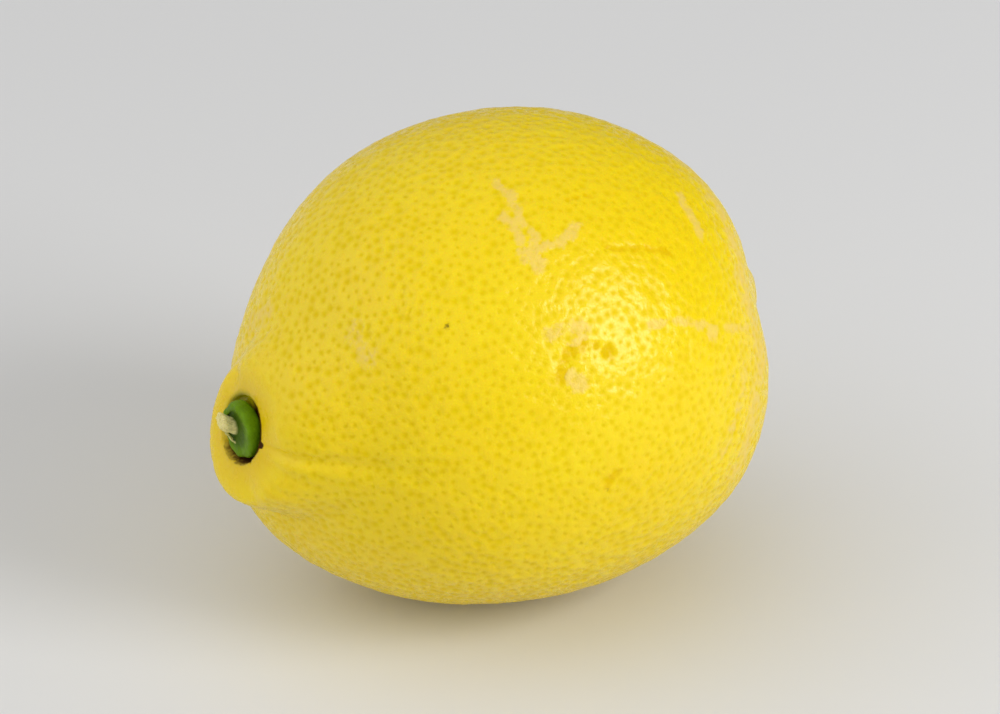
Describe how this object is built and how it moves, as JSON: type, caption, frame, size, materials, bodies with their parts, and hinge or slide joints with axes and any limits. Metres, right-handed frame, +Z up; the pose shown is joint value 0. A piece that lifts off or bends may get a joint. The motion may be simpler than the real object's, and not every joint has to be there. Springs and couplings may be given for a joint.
{
  "type": "lemon",
  "caption": "Whole ripe lemon lying on its side on a small flat spot, with a raised collar, green calyx and cut stem stub at one end and a low nipple at the other.",
  "frame": {"origin": "middle of the small flat spot that the fruit rests on, straight under its weight", "axes": "+X along the fruit's axis from the stem end to the blossom end, +Z up"},
  "size_m": [0.0764, 0.062, 0.0616],
  "materials": {
    "rind": "satin",
    "calyx": "matte"
  },
  "bodies": {
    "root": {"fruit": "rind", "stem_button": "calyx"}
  },
  "joints": []
}
